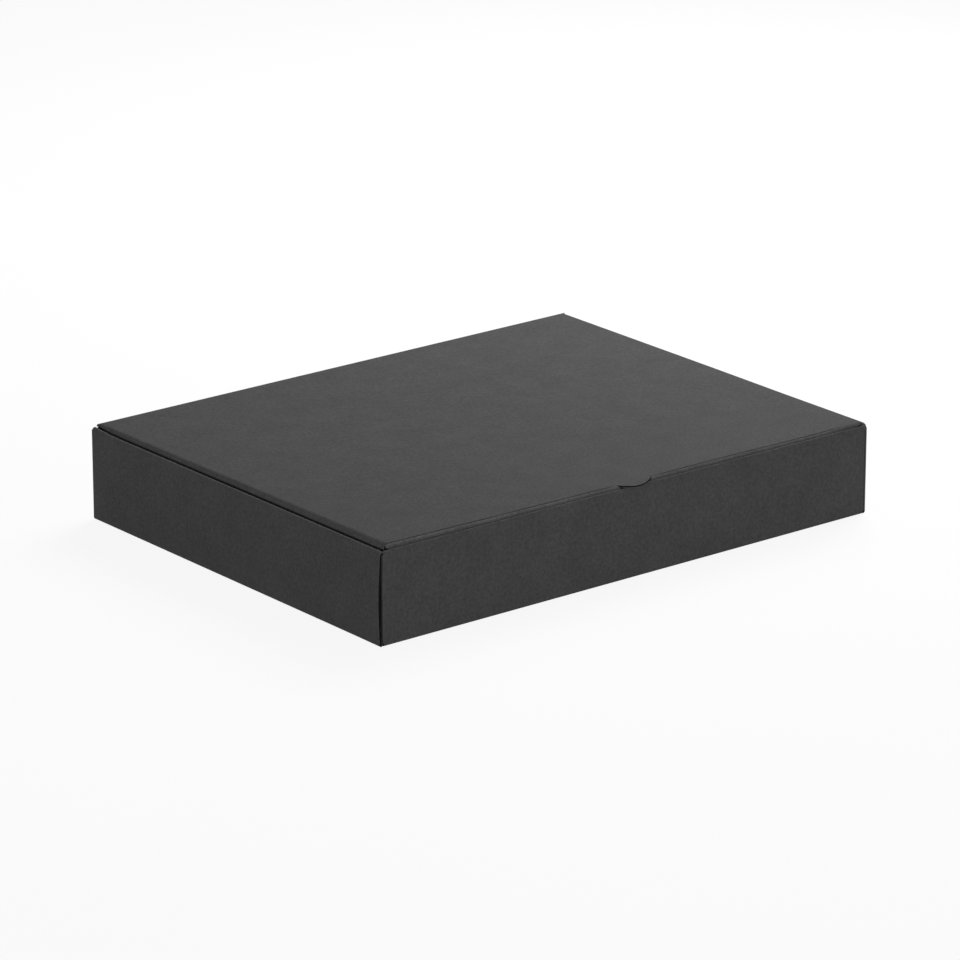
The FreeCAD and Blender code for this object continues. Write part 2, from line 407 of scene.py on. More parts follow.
class BoardMesh:
    """Collects the points, faces, materials and wear of one piece of board."""

    def __init__(self, place):
        self.place = place
        self.points = []
        self.wear_and_highlight = []
        self.faces = []
        self.materials = []

    def point(self, u, v, w, wear_and_highlight=0.0):
        self.points.append(Vector(self.place(u, v, w)) * MM)
        self.wear_and_highlight.append(wear_and_highlight)
        return len(self.points) - 1

    def face(self, corners, material=0):
        self.faces.append(corners)
        self.materials.append(material)


def add_medium(mesh, outline, places, insets, is_cut, wave):
    """The cut end of the wavy core, a thin ribbon in the recess between the liners."""
    rings = {}
    ends = {}
    near = MEDIUM_INSET_MM
    far = RECESS_MM * MEDIUM_REACH_SHARE

    def ring(at, move, key=None):
        if key in rings:
            return rings[key]
        depth = medium_depth(at.x if wave == "u" else at.y)
        corners = []
        for inset, side in ((near, -1), (near, 1), (far, 1), (far, -1)):
            spot = at + move * inset
            corners.append(mesh.point(spot.x, spot.y, depth + side * MEDIUM_MM / 2))
        if key is not None:
            rings[key] = corners
        return corners

    for a, b in outline:
        if not is_cut(places[a], places[b]):
            continue
        run = places[b] - places[a]
        across = abs(run.x if wave == "u" else run.y)
        parts = max(1, math.ceil(across / FLUTE_STEP_MM))
        last = ring(places[a], insets[a], a)
        for part in range(1, parts + 1):
            share = part / parts
            at = places[a].lerp(places[b], share)
            here = ring(at, insets[a].lerp(insets[b], share), b if part == parts else None)
            for i in range(4):
                j = (i + 1) % 4
                mesh.face([last[i], last[j], here[j], here[i]], 1)
            last = here
        for end in (a, b):
            ends[end] = ends.get(end, 0) + 1
    for end, count in ends.items():
        if count == 1:
            mesh.face(list(rings[end]), 1)


def board_sheet(
    name, columns, low, high, rows, place, wave, is_cut,
    keep=lambda u, v: True, wear_and_highlight=lambda u, v: 0.0, edge="open", lip_wear_and_highlight=lambda u: EDGE_WEAR,
):
    """A piece of board. Rows are shares of each column, from its low to its high outline.

    Its cut edge is open, with the flutes in sight, or pressed shut, or pressed and painted black as
    shade.
    """
    half = open_half if edge == "open" else pressed_half
    profile = both_liners(half)
    # A pressed dark edge keeps its middle bands in the near-black core colour, as painted shade
    core = range(0) if edge == "pressed" else core_bands(half)
    places, cells = sheet_cells(columns, low, high, rows, keep)
    outline = outline_of(cells)
    after = dict(outline)
    before = {b: a for a, b in outline}
    mesh = BoardMesh(place)
    shown = {}
    hidden = {}
    rings = {}
    insets = {}
    for i, at in enumerate(places):
        if i not in after:
            shown[i] = mesh.point(at.x, at.y, 0.0, wear_and_highlight(at.x, at.y))
            hidden[i] = mesh.point(at.x, at.y, board)
            continue
        lead, trail = places[before[i]], places[after[i]]
        cuts = (is_cut(lead, at), is_cut(at, trail))
        insets[i] = inward(lead, at, trail, *cuts)
        plain = wear_and_highlight(at.x, at.y)
        # A cut edge's lip is painted paler: rubbed dye, and on the front wall also a painted
        # highlight
        rubbed_and_highlight = lip_wear_and_highlight(at.x) if any(cuts) else plain
        rings[i] = []
        for k, (inset, depth) in enumerate(profile):
            spot = at + insets[i] * inset
            here = rubbed_and_highlight if 0 < k < len(profile) - 1 else plain
            rings[i].append(mesh.point(spot.x, spot.y, depth * board, here))
        shown[i], hidden[i] = rings[i][0], rings[i][-1]
    for cell in cells:
        mesh.face([shown[n] for n in cell])
        mesh.face([hidden[n] for n in reversed(cell)])
    for a, b in outline:
        cut = is_cut(places[a], places[b])
        for k in range(len(profile) - 1):
            corners = [rings[a][k], rings[a][k + 1], rings[b][k + 1], rings[b][k]]
            mesh.face(corners, 1 if cut and k in core else 0)
    if edge == "open":
        add_medium(mesh, outline, places, insets, is_cut, wave)
    return finish_piece(name, mesh)


# %% Turn a sheet into an object
# Where the surface turns by more than this at an edge, the edge stays sharp
SOFT_ANGLE_DEG = 38


def finish_piece(name, mesh):
    """An object from a sheet, with its materials, its wear and painted highlight, and soft shading.
    """
    data = bpy.data.meshes.new(name)
    data.from_pydata(mesh.points, [], mesh.faces)
    for material in (liner_material, core_and_shade_material):
        data.materials.append(material)
    data.polygons.foreach_set("material_index", mesh.materials)
    data.attributes.new("wear_and_highlight", "FLOAT", "POINT").data.foreach_set("value", mesh.wear_and_highlight)
    welded = bmesh.new()
    welded.from_mesh(data)
    bmesh.ops.recalc_face_normals(welded, faces=welded.faces)
    welded.to_mesh(data)
    welded.free()
    data.polygons.foreach_set("use_smooth", [True] * len(data.polygons))
    data.set_sharp_from_angle(angle=math.radians(SOFT_ANGLE_DEG))
    piece = bpy.data.objects.new(name, data)
    bpy.context.scene.collection.objects.link(piece)
    return piece


# %% [markdown]
# Putting a piece in its place
#
# Each finished sheet stands for one solid of the frame: it hides that solid and rides on the
# same body. A fold between two bodies rides on none.

# %% Helpers for places
LEAST_STEP_SHARE = 1 / 8
pieces = []


def stand_for(piece, node):
    """The piece takes the place of this node's solid."""
    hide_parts(node)
    pieces.append(piece)


def seat(piece, node, body):
    """The piece stands for this node and moves with this body."""
    stand_for(piece, node)
    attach(piece, body)


def steps(low, high, spacing, extra=()):
    """Values from low to high, no further apart than the spacing, the extra ones among them."""
    count = max(1, math.ceil((high - low) / spacing))
    values = [low + (high - low) * i / count for i in range(count + 1)]
    # An even step that lies very near an extra value gives way to it
    least = spacing * LEAST_STEP_SHARE
    clear = [v for v in values if v in (low, high) or all(abs(v - e) > least for e in extra)]
    return sorted(set(clear) | {e for e in extra if low < e < high})


def shares(values):
    """Values along a straight column as shares of it."""
    return [(v - values[0]) / (values[-1] - values[0]) for v in values]


def round_rows(count):
    """Shares that are closest together at both ends, where a fold leaves its panels."""
    return [(1 - math.cos(math.pi * i / count)) / 2 for i in range(count + 1)]


def clamp(x):
    return min(1.0, max(0.0, x))


def smooth(x):
    """Eases from 0 to 1 as x goes from 0 to 1."""
    x = clamp(x)
    return x * x * (3 - 2 * x)


# %% [markdown]
# The floor of the tray
#
# One flat panel with four slots, in which the tabs of the rolled walls lock. A Boolean could
# cut them. But where the grid's lines run along the slots, it is enough to leave out the cells
# inside, and the slots' edges get the profile of a cut like any other.

# %% Make the base
slot_x = (inner_low.x - slot_side_gap, inner_low.x + board + slot_side_gap)
slot_half = lock_tab_length / 2 + slot_end_gap


def lock_ends(half):
    """Where a wall's two lock tabs or slots end, from half their length."""
    return [s * lock_tab_spacing / 2 + e * half for s in (-1, 1) for e in (-1, 1)]


def in_lock(y, half):
    return abs(abs(y) - lock_tab_spacing / 2) < half


def in_slot(x, y):
    return slot_x[0] < abs(x) < slot_x[1] and in_lock(y, slot_half)


def is_slot_edge(a, b):
    """Whether an edge lies inside the base's border, where only the slots have edges."""
    middle = (a + b) / 2
    return all(abs(middle[k]) < base_high[k] - CLOSE_MM for k in (0, 1))


base = board_sheet(
    "base_board",
    steps(base_low.x, base_high.x, 20, [s * x for s in (-1, 1) for x in slot_x]),
    lambda u: base_low.y,
    lambda u: base_high.y,
    shares(steps(base_low.y, base_high.y, 20, lock_ends(slot_half))),
    lambda u, v, w: (u, v, w),
    "u",
    is_slot_edge,
    keep=lambda u, v: not in_slot(u, v),
)
seat(base, "base_panel", "tray")
print(f"base: {2 * base_high.x:.1f} by {2 * base_high.y:.1f} mm between its folds")

# %% [markdown]
# The front and back walls
#
# The front wall ends below the lid in a cut edge that the die has pressed shut. The photo shows
# it a millimetre high at the left corner and less towards the right one, as when a crease is
# not quite square. Its lip is painted paler at the left and not at all at the right: a painted
# highlight for the light it catches. The back wall goes on up into the lid's hinge, with a
# shoulder at each end.

# %% Make the walls
FRONT_TOP_LEFT_MM = 1.05
FRONT_TOP_RIGHT_MM = 0.1
# Painted highlight along the front wall's top lip: strong at the left, none at the right
FRONT_LIP_PAINTED_HIGHLIGHT_LEFT = 1.3
FRONT_LIP_PAINTED_HIGHLIGHT_RIGHT = 0.0


def left_to_right(left, right, x):
    """A value that changes evenly along the front, from its left end to its right one."""
    return left + (right - left) * (x + wall_end_x) / (2 * wall_end_x)


def front_top(x):
    return front_high.z + left_to_right(FRONT_TOP_LEFT_MM, FRONT_TOP_RIGHT_MM, x)


front = board_sheet(
    "front_board",
    steps(front_low.x, front_high.x, 12),
    lambda u: front_low.z,
    front_top,
    shares(steps(front_low.z, front_high.z, 9)),
    lambda u, v, w: (u, front_low.y + w, v),
    "u",
    lambda a, b: abs(a.x - b.x) > CLOSE_MM and min(a.y, b.y) > front_low.z + CLOSE_MM,
    edge="pressed",
    lip_wear_and_highlight=lambda u: left_to_right(FRONT_LIP_PAINTED_HIGHLIGHT_LEFT, FRONT_LIP_PAINTED_HIGHLIGHT_RIGHT, u),
)
seat(front, "front_wall", "tray")


def back_top(x):
    out = (abs(x) - lid_edge_x) / (wall_end_x - lid_edge_x)
    return back_high.z - max(0.0, out) * shoulder_drop


def is_shoulder(a, b):
    """Whether an edge slants, as only those of the shoulders do."""
    return abs(a.x - b.x) > CLOSE_MM and abs(a.y - b.y) > CLOSE_MM


back = board_sheet(
    "back_board",
    steps(back_low.x, back_high.x, 12, (-lid_edge_x, lid_edge_x)),
    lambda u: back_low.z,
    back_top,
    shares(steps(back_low.z, back_high.z, 9)),
    lambda u, v, w: (u, back_high.y - w, v),
    "u",
    is_shoulder,
)
seat(back, "back_wall", "tray")
print(f"the front wall's top: {front_top(-wall_end_x):.2f} to {front_top(wall_end_x):.2f} mm high")

# %% [markdown]
# Folds
#
# A crease in board is a short round bend, tighter inside than outside. It could be a quarter
# of a cylinder, but it has to meet its panels without a step, at the same thickness and with
# the same slope. So a fold is a sheet too: v runs round the bend in millimetres of board, and
# the place of a point comes from the angle that it has reached. Its wear is most in the middle.

# %% Bend a sheet round a line


def bent_place(centre, out, up, along, radius, start_deg, turn, shift=None):
    """Places (u, v, w) on a bend, from an angle measured from out towards up, turning one way."""
    mean = radius - board / 2

    def place(u, v, w):
        angle = math.radians(start_deg) + turn * v / mean
        arm = out * math.cos(angle) + up * math.sin(angle)
        spot = centre + along * u + arm * (radius - w)
        return spot + shift(u, v) if shift else spot

    return place


QUARTER = math.pi / 2


def fold_length(radius, sweep):
    """Millimetres of board in a bend, along its middle, for a sweep in radians."""
    return sweep * (radius - board / 2)


def fold(name, columns, length, place, wave, wear_most=0.3, count=12, edge="open"):
    """A plain fold: joined to a panel along both sides, cut at both ends."""
    ends = (columns[0], columns[-1])
    return board_sheet(
        name,
        columns,
        lambda u: 0.0,
        lambda u: length,
        round_rows(count),
        place,
        wave,
        lambda a, b: abs(a.x - b.x) < CLOSE_MM and min(abs(a.x - e) for e in ends) < CLOSE_MM,
        wear_and_highlight=lambda u, v: wear_most * math.sin(math.pi * v / length),
        edge=edge,
    )


X = Vector((1, 0, 0))
Y = Vector((0, 1, 0))
Z = Vector((0, 0, 1))

# %% How the left side wall stands off at the front corner
STAND_OFF_MM = 0.5
STAND_OFF_LENGTH_MM = 30.0


def near_front(y, length_mm):
    """1 at the front end of the side walls, fading to 0 over a length."""
    return smooth(1 - (y - outer_low.y) / length_mm)


def stand_off(side, y):
    """How far the foot of the left wall stands out from the dust flap, near its front end."""
    return STAND_OFF_MM * near_front(y, STAND_OFF_LENGTH_MM) if side < 0 else 0.0


# %% Make the folds at the foot of the walls
foot = fold_length(tray_radius, QUARTER)
sides = (("left", -1), ("right", 1))
ends = (("front", -1), ("back", 1))


def foot_fold(name, out, along, centre, half, wave, shift=None):
    """The fold between the base and a wall, with its centre at a distance from the middle."""
    place = bent_place(out * centre + Z * tray_radius, out, Z, along, tray_radius, -90, 1, shift)
    piece = fold(f"{name}_foot_fold", steps(-half, half, 20), foot, place, wave)
    seat(piece, f"{name}_base_crease", "tray")


for name, end in ends:
    foot_fold(name, Y * end, X, base_high.y, wall_end_x, "u")
for name, side in sides:

    def pulled(u, v):
        return X * (side * stand_off(side, u) * v / foot)

    foot_fold(name, X * side, Y, base_high.x, outer_high.y, "v", pulled)
print(f"foot folds: {foot:.2f} mm of board in each")

# %% Make the upright folds at the corners
heights = steps(dust_low.z, dust_high.z, 9)
for end_name, end in ends:
    for side_name, side in sides:
        centre = X * (side * wall_end_x) + Y * (end * base_high.y)
        place = bent_place(centre, X * side, Y * end, Z, tray_radius, 0, 1)
        name = f"{end_name}_{side_name}_corner_fold"
        piece = fold(name, heights, foot, place, "v", wear_most=0.0)
        seat(piece, f"{end_name}_{side_name}_corner_crease", "tray")
print("corner folds:", len(pieces), "pieces so far")

# %% [markdown]
# Flaps with shaped outlines
#
# Dust flaps, tuck flap and wings are flat, but their outlines have chamfers and rounded
# corners, so that they slip in without catching. A filled curve would have no rows to bend.
# So an outline is a row of points, read off as a height for each column.

# %% Round the corners of an outline
ARC_STEPS = 9


def leaf_path(start, first, last, end, depth, radius):
    """A leaf's outline from the lid to its outer edge and back, with its two corners rounded."""
    spots = [Vector(spot) for spot in ((start, 0), (first, depth), (last, depth), (end, 0))]
    path = [spots[0]]
    for before, here, after in zip(spots, spots[1:], spots[2:]):
        back_way = (before - here).normalized()
        on_way = (after - here).normalized()
        half = back_way.angle(on_way) / 2
        middle = here + (back_way + on_way).normalized() * (radius / math.sin(half))
        arms = [here + way * (radius / math.tan(half)) - middle for way in (back_way, on_way)]
        path += [middle + arms[0].slerp(arms[1], k / ARC_STEPS) for k in range(ARC_STEPS + 1)]
    return [*path, spots[-1]]


def height_along(path):
    """The outline's v at any u, from points in rising order of u."""

    def height(u):
        for a, b in zip(path, path[1:]):
            if a.x - 1e-6 <= u <= b.x + 1e-6 and b.x > a.x:
                return a.y + (b.y - a.y) * clamp((u - a.x) / (b.x - a.x))
        return path[0].y if u < path[0].x else path[-1].y

    return height


# %% Make the dust flaps
dust_length = dust_high.y - dust_low.y
chamfer_start = dust_length - dust_chamfer


def chamfered(z, rise):
    """A long edge of the dust flap, which rises or falls along the chamfer."""
    spots = ((0, z), (chamfer_start, z), (dust_length, z + rise))
    return height_along([Vector(spot) for spot in spots])


dust_columns = steps(0.0, dust_length, 10, (chamfer_start,))
for end_name, end in ends:
    for side_name, side in sides:
        piece = board_sheet(
            f"{end_name}_{side_name}_dust_board",
            dust_columns,
            chamfered(dust_low.z, dust_chamfer),
            chamfered(dust_high.z, -dust_chamfer),
            shares(steps(dust_low.z, dust_high.z, 12)),
            lambda u, v, w: (side * (dust_high.x - w), end * (base_high.y - u), v),
            "u",
            lambda a, b: max(a.x, b.x) > CLOSE_MM,
        )
        seat(piece, f"{end_name}_{side_name}_dust_flap", "tray")
print(f"dust flaps: {dust_length:.1f} mm long")

# %% [markdown]
# The rolled side walls
#
# Each side wall is two layers with the dust flaps between them. The board goes up outside,
# rolls over in a half round and comes down inside. The outer layer ends free at both corners,
# where the die has pressed its cut edge shut. At the front left corner of the photo it reaches
# up to the front wall's face and bows out by a millimetre, and its cut edge is painted in the
# near-black core colour, as painted shade: edge and slot show as one black line. At its back
# end the left wall stands a little high. At the front right corner the top is rounded off. All
# this fades out within centimetres.

# %% Make the outer layers
FRONT_BOW_MM = 1.0
BOW_LENGTH_MM = 45.0
FRONT_REACH_MM = 0.6
REACH_LENGTH_MM = 20.0
BACK_LIFT_MM = 1.0
BACK_LIFT_LENGTH_MM = 16.0
ROLL_TILT_MM = 0.8
CORNER_ROUND_MM = 2.2


def height_share(z):
    """0 at the foot of a side wall and 1 where its roll begins."""
    return clamp((z - outer_low.z) / (outer_high.z - outer_low.z))


def bow(side, y, z):
    """How far the left outer layer stands out near its free front end, most half way up."""
    if side > 0:
        return 0.0
    up = height_share(z)
    bent = FRONT_BOW_MM * math.sin(math.pi * up) * near_front(y, BOW_LENGTH_MM)
    return bent + stand_off(side, y) * (1 - up)


def reach(side, y):
    """How far the left outer layer goes on past its flat place at its front end."""
    return FRONT_REACH_MM * near_front(y, REACH_LENGTH_MM) if side < 0 else 0.0


def side_lift(side, y, z):
    """How far a side wall is drawn up or rounded off at an end, all of it at the roll."""
    if side < 0:
        near_back = smooth(1 - (roll_high.y - y) / BACK_LIFT_LENGTH_MM)
        return BACK_LIFT_MM * height_share(z) * near_back
    near_end = clamp(1 - (y - outer_low.y) / CORNER_ROUND_MM)
    near_top = smooth((z - outer_high.z + 2 * CORNER_ROUND_MM) / (2 * CORNER_ROUND_MM))
    return -CORNER_ROUND_MM * near_top * (1 - math.sqrt(1 - near_end**2))


def end_steps(low, high, spacing):
    """Steps that come closer at the low end, where a corner is rounded."""
    fine = [low + CORNER_ROUND_MM * k / 8 for k in range(1, 9)]
    return steps(low, high, spacing, fine)


for name, side in sides:

    def outer_place(u, v, w):
        x = side * (outer_high.x - w + bow(side, u, v))
        return x, u - reach(side, u), v + side_lift(side, u, v)

    piece = board_sheet(
        f"{name}_outer_board",
        end_steps(outer_low.y, outer_high.y, 7),
        lambda u: outer_low.z,
        lambda u: outer_high.z,
        shares(steps(outer_low.z, outer_high.z, 3)),
        outer_place,
        "v",
        lambda a, b: abs(a.x - b.x) < CLOSE_MM,
        # Painted shade: the left layer's pressed front edge takes the near-black core colour
        edge="dark" if side < 0 else "pressed",
    )
    seat(piece, f"{name}_side_outer_panel", "tray")
print("the left outer layer bows", bow(-1, outer_low.y, outer_high.z / 2), "mm at the front")

# %% [markdown]
# The top of a rolled wall is made of two creases close together, so it is a little flat and
# slopes down to the inside. A round bend with its inner half lowered has that shape.

# %% Make the rolled tops
roll_radius = roll_high.z - outer_high.z
roll_length = fold_length(roll_radius, 2 * QUARTER)
for name, side in sides:
    centre = X * (side * (inner_low.x + roll_radius)) + Z * outer_high.z

    def lifted(u, v):
        inside = (1 - math.cos(math.pi * v / roll_length)) / 2
        lift = side_lift(side, u, outer_high.z) - ROLL_TILT_MM * inside
        return Z * lift - Y * (reach(side, u) * (1 - inside))

    place = bent_place(centre, X * side, Z, Y, roll_radius, 0, 1, lifted)
    piece = fold(
        f"{name}_rolled_top",
        end_steps(roll_low.y, roll_high.y, 12),
        roll_length,
        place,
        "v",
        wear_most=0.1,
        count=22,
        edge="pressed",
    )
    seat(piece, f"{name}_side_roll", "tray")
print(f"rolled tops: {roll_length:.2f} mm of board in each")

# %% Make the inner layers with their lock tabs
lock_half = lock_tab_length / 2
for name, side in sides:

    def inner_place(u, v, w):
        up = max(0.0, (v - board) / (inner_high.z - board))
        return side * (inner_low.x + w), u, v + up * (side_lift(side, u, v) - ROLL_TILT_MM)

    piece = board_sheet(
        f"{name}_inner_board",
        steps(inner_low.y, inner_high.y, 12, lock_ends(lock_half)),
        lambda u: inner_low.z,
        lambda u: inner_high.z,
        shares([inner_low.z, *steps(board, inner_high.z, 12)]),
        inner_place,
        "v",
        lambda a, b: min(a.y, b.y) < inner_high.z - CLOSE_MM,
        keep=lambda u, v: v > board or in_lock(u, lock_half),
    )
    seat(piece, f"{name}_side_inner_panel", "tray")
print("tray:", len(pieces), "pieces")

# %% [markdown]
# The lid's warp
#
# A wide panel of thin board is never flat. The groove along the front of the lid, followed in
# the photo, is half a millimetre high at the left corner, a millimetre low in the middle and
# lowest near the right corner. Displacing the lid alone would tear it from its folds, so the
# warp is one function of the place, and every piece of the lid is put through it. Along the
# left side the panel turns over on a round that is as wide as the crease at the hinge and
# almost twice as wide at the front.

# %% Describe the warp
# Each point: a share of half the lid's length, and how high its front edge lies there in mm
front_lift_shares = (
    (-1.0, 0.45), (-0.5, -0.35), (0.0, -0.9), (0.4, -0.95), (0.8, -1.6), (1.0, -0.9)
)
WARP_POWER = 1.3
WARP_POWER_RIGHT = 4.0
SOFT_LEFT_MM = 1.4
LEFT_GAP_MORE_MM = 0.55


def front_lift(x):
    """The lid's front edge above its flat place, smooth between the points."""
    share = min(1.0, max(-1.0, x / lid_edge_x))
    known = front_lift_shares
    i = max(k for k in range(len(known) - 1) if known[k][0] <= share)
    a, b = known[i], known[i + 1]
    before = known[max(i - 1, 0)]
    after = known[min(i + 2, len(known) - 1)]
    run = b[0] - a[0]
    t = (share - a[0]) / run
    slope_a = (b[1] - before[1]) / (b[0] - before[0]) * run
    slope_b = (after[1] - a[1]) / (after[0] - a[0]) * run
    start = (1 + 2 * t) * (1 - t) ** 2 * a[1] + t * (1 - t) ** 2 * slope_a
    return start + t * t * (3 - 2 * t) * b[1] + t * t * (t - 1) * slope_b


def forward_share(y):
    """0 at the hinge and 1 at the lid's front edge."""
    return clamp((lid_back_y - y) / (lid_back_y - lid_front_y))


def warp(x, y):
    """How far the lid lies above its flat place, in mm."""
    right_share = smooth(x / lid_edge_x)
    power = WARP_POWER + (WARP_POWER_RIGHT - WARP_POWER) * right_share
    return front_lift(x) * forward_share(y) ** power


def edge_turn(side, y):
    """The radius on which the lid's side turns over, and how far inside its edge that starts.

    The side can be any number: below zero it is the left.
    """
    more = SOFT_LEFT_MM * forward_share(y) if side < 0 else 0.0
    return lid_radius + more, more * (1 + math.sin(wing_lean)) / math.cos(wing_lean)


def edge_angle(x, y):
    """How far the lid has turned over at x, in radians: nothing on the flat."""
    radius, inset = edge_turn(x, y)
    past = min(abs(x), lid_edge_x) - (lid_edge_x - inset)
    return math.asin(past / radius) if inset and past > 0 else 0.0


def lid_lift(x, y):
    """The height of the lid's surface against its flat place, warp and turned edge together."""
    return warp(x, y) - edge_turn(x, y)[0] * (1 - math.cos(edge_angle(x, y)))


def drawn_in(x):
    """How far the left half of the lid is drawn in, so that the gap at its side is wider."""
    return LEFT_GAP_MORE_MM * clamp(-x / lid_edge_x)


print(f"the warp at the front: {front_lift(-lid_edge_x):.2f} to {front_lift(lid_edge_x):.2f} mm")

# %% [markdown]
# The lid panel
#
# Along the front of the lid runs a pressed groove, where the flap bends down, and in the middle
# the half-moon thumb tab is cut free and stands out over the front wall. The groove is real
# relief, because a bump alone would vanish from the side. The tab needs no piece of its own:
# the front outline of the grid follows its arc.

# %% Shape the front of the lid
GROOVE_MM = 0.22
GROOVE_WIDTH_MM = 0.45
GROOVE_START_MM = 1.5
GROOVE_END_SHARE = 0.84
TAB_DROOP_MM = 0.8
tab_radius = ((tab_width / 2) ** 2 + tab_reach**2) / (2 * tab_reach)
print(f"thumb tab: an arc of {tab_radius:.1f} mm that reaches out {tab_reach:.2f} mm")


def tab_outline(x, gap=0.0):
    """How far the thumb tab, with a gap round it, reaches over the crease at x."""
    level = max(0.0, (tab_radius + gap) ** 2 - (x - tab_offset) ** 2)
    return max(0.0, math.sqrt(level) - tab_radius + tab_reach)


def groove(distance, x):
    """Depth of the pressed crease line at a distance from it. The thumb tab has none."""
    beside = smooth((abs(x - tab_offset) - tab_width / 2) / GROOVE_START_MM)
    fading = smooth((1 - x / lid_edge_x) / (1 - GROOVE_END_SHARE))
    return GROOVE_MM * beside * fading * math.exp(-((distance / GROOVE_WIDTH_MM) ** 2))


# %% Make the lid panel
# The rows lie close together at the groove in front and at the hinge
GROOVE_ROWS_MM = (0.2, 0.4, 0.6, 0.85, 1.2, 2.0, 3.5)
EVEN_ROWS = 44
HINGE_ROW_SHARES = (0.955, 0.975, 0.99)

tab_points = [tab_offset + tab_width * (i / 32 - 0.5) for i in range(33)]
turned = edge_turn(-1, lid_front_y)[1]
edge_points = [-lid_edge_x + turned * k / 8 for k in range(1, 10)]
lid_columns = steps(-lid_edge_x, lid_edge_x, 6, tab_points + edge_points)
groove_rows = [row / (lid_back_y - lid_front_y) for row in GROOVE_ROWS_MM]
even_rows = [k / EVEN_ROWS for k in range(2, EVEN_ROWS - 2)]
lid_rows = [0.0, *groove_rows, *even_rows, *HINGE_ROW_SHARES, 1.0]


def droop(y):
    """How far the free thumb tab hangs down, most of it at its tip."""
    return TAB_DROOP_MM * (max(0.0, lid_front_y - y) / tab_reach) ** 2


def lid_place(x, y, w):
    side = 1 if x > 0 else -1
    angle = edge_angle(x, y)
    z = lid_top + lid_lift(x, y) - droop(y)
    if w == 0:
        z -= groove(y - lid_front_y, x)
    return x + drawn_in(x) - side * w * math.sin(angle), y, z - w * math.cos(angle)


lid = board_sheet(
    "lid_board",
    lid_columns,
    lambda u: lid_front_y - tab_outline(u),
    lambda u: lid_back_y,
    lid_rows,
    lid_place,
    "u",
    lambda a, b: min(a.y, b.y) < lid_front_y - CLOSE_MM,
)
seat(lid, "lid_panel", "lid")
print("lid:", len(lid_columns), "by", len(lid_rows), "points")

# %% [markdown]
# The lid's folds
#
# A fold between two bodies can't ride on either: opened, it would tear off one panel. So each
# of the four folds of the lid rides on no body: it takes the place of its solid and stays where
# it lies in the closed box. The front and side folds hang from the warped lid.

# %% Put a fold of the lid in place
LID_FOLD_ROWS = 18

# The fold takes the place of this node's solid and rides on no body.

def blend_fold(piece, node):
    """The fold follows body a up to the start, body b from the end on, and turns between them."""
    stand_for(piece, node)
    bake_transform(piece)


# %% Make the hinge fold
HINGE_OVER_MM = 1.5

hinge_centre = Y * lid_back_y + Z * back_high.z
hinge_half = lid_edge_x + HINGE_OVER_MM
hinge = fold(
    "hinge_fold",
    steps(-hinge_half, hinge_half, 12),
    fold_length(lid_radius, QUARTER),
    bent_place(hinge_centre, Y, Z, X, lid_radius, 0, 1),
    "u",
    count=LID_FOLD_ROWS,
    edge="pressed",
)
blend_fold(
    hinge, "lid_hinge_crease"
)
print(f"hinge fold: {2 * hinge_half:.1f} mm long")

# %% [markdown]
# The tuck flap and its fold
#
# The flap bends a little more than square, so it leans in behind the front wall. The thumb tab
# is cut out of its fold, whose outline follows the tab's arc down to where nothing is left, and
# the flap keeps the rest of the notch. Both hang from the warped front edge and take its lift.

# %% Make the tuck flap's fold
FOLD_OVER_LEFT_MM = 0.6
FOLD_OVER_RIGHT_MM = 1.2
# Paler colour on the tuck flap's fold: rubbed dye, and a painted highlight that is stronger at the
# left
FOLD_WEAR_AND_HIGHLIGHT_LEFT = 1.3
FOLD_WEAR_AND_HIGHLIGHT_RIGHT = 0.4

front_centre = Y * lid_front_y + Z * (lid_top - lid_radius)
flap_fold_length = fold_length(lid_radius, QUARTER + flap_lean)


def notch_half_at(v):
    """Half the notch's width, at v mm of board from the lid."""
    return math.sqrt((tab_radius + tab_cut_gap) ** 2 - (tab_radius - tab_reach + v) ** 2)


fold_gone_half = notch_half_at(flap_fold_length)


def front_shift(u, v):
    return Z * (lid_lift(u, lid_front_y) - groove(v, u)) + X * drawn_in(u)


def fold_start(u):
    """Where the fold begins at u, in mm of board from the lid: later along the tab's arc."""
    return min(flap_fold_length, tab_outline(u, tab_cut_gap))


def fold_wear_and_highlight(u, v):
    """The dye is rubbed most on the middle of the fold, and a painted highlight makes it paler
    towards the left.
    """
    most = left_to_right(FOLD_WEAR_AND_HIGHLIGHT_LEFT, FOLD_WEAR_AND_HIGHLIGHT_RIGHT, u)
    return most * math.sin(math.pi * v / flap_fold_length)


def is_fold_cut(a, b):
    along_lid = max(a.y, b.y) < CLOSE_MM
    along_flap = min(a.y, b.y) > flap_fold_length - CLOSE_MM
    return not (along_lid or along_flap)


arc_run = notch_half_at(0.0) - fold_gone_half
arc_points = [
    tab_offset + side * (fold_gone_half + arc_run * k / 8) for side in (-1, 1) for k in range(9)
]
fold_left = -lid_edge_x - FOLD_OVER_LEFT_MM
fold_right = lid_edge_x + FOLD_OVER_RIGHT_MM
flap_fold = board_sheet(
    "tuck_flap_fold",
    steps(fold_left, fold_right, 6, edge_points + arc_points),
    fold_start,
    lambda u: flap_fold_length,
    round_rows(LID_FOLD_ROWS),
    bent_place(front_centre, -Y, Z, X, lid_radius, 90, -1, front_shift),
    "u",
    is_fold_cut,
    keep=lambda u, v: abs(u - tab_offset) > fold_gone_half,
    wear_and_highlight=fold_wear_and_highlight,
    edge="pressed",
)
blend_fold(flap_fold, "tuck_flap_crease")
print(f"tuck flap's fold: {flap_fold_length:.2f} mm of board")

# %% Make the tuck flap


def leaf_directions(out, lean):
    """At right angles away from the show side of a leaf that leans in, and down along it."""
    return out * math.cos(lean) - Z * math.sin(lean), -out * math.sin(lean) - Z * math.cos(lean)


